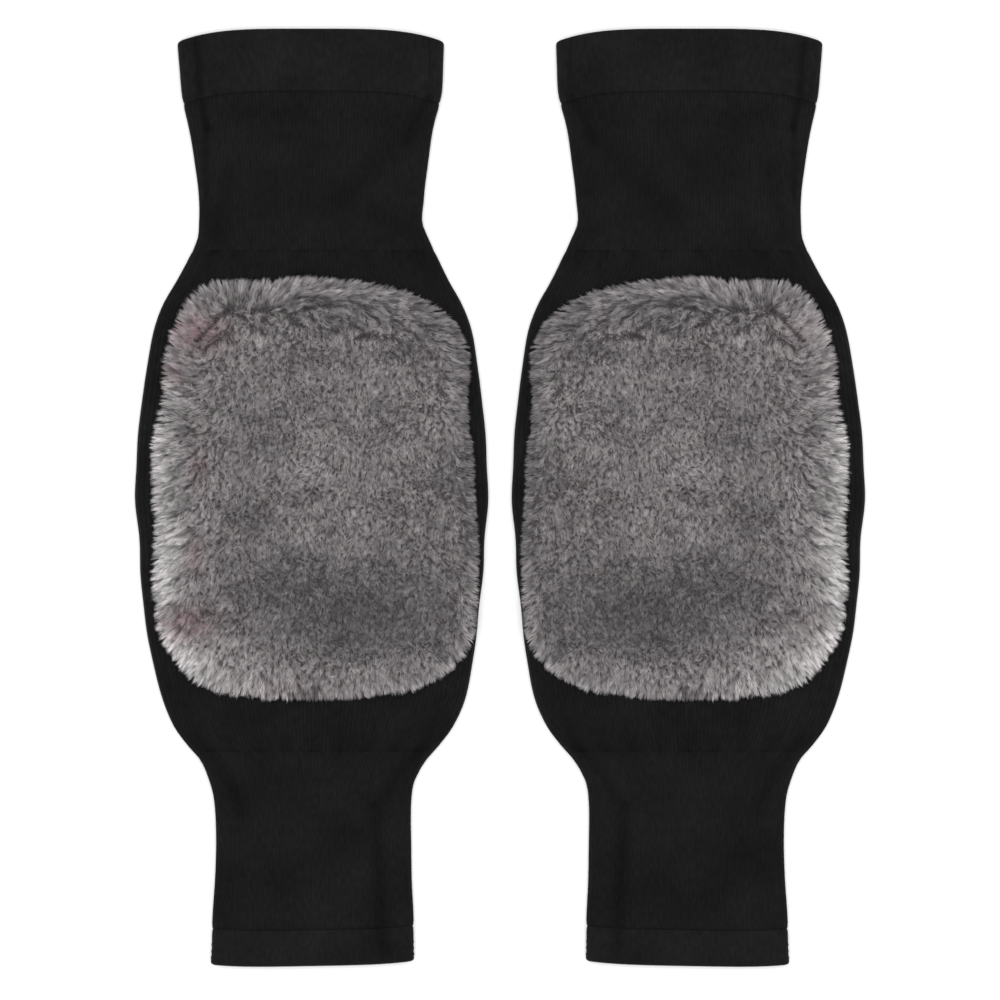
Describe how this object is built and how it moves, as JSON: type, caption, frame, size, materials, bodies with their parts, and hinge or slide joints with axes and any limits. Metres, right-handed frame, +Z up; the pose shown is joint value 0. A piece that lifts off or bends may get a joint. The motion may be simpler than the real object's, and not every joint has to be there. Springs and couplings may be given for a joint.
{
  "type": "pair of knee warmers",
  "caption": "Pair of ribbed knit knee warmers with a plush fur patch over each knee, laid flat side by side as mirror images.",
  "frame": {"origin": "on the surface under the pair, midway between the two warmers and midway along them", "axes": "+X across the pair, +Y up the leg towards the thigh ends, +Z up from the surface"},
  "size_m": [0.3884, 0.5, 0.0192],
  "materials": {
    "black_knit": "matt fine rib knit",
    "grey_fur": "soft plush pile"
  },
  "bodies": {
    "root": {"left_top_band": "black_knit", "left_thigh_rib": "black_knit", "left_knee_tube": "black_knit", "left_calf_rib": "black_knit", "left_hem_band": "black_knit", "left_fur_patch": "grey_fur", "right_top_band": "black_knit", "right_thigh_rib": "black_knit", "right_knee_tube": "black_knit", "right_calf_rib": "black_knit", "right_hem_band": "black_knit", "right_fur_patch": "grey_fur"}
  },
  "joints": []
}
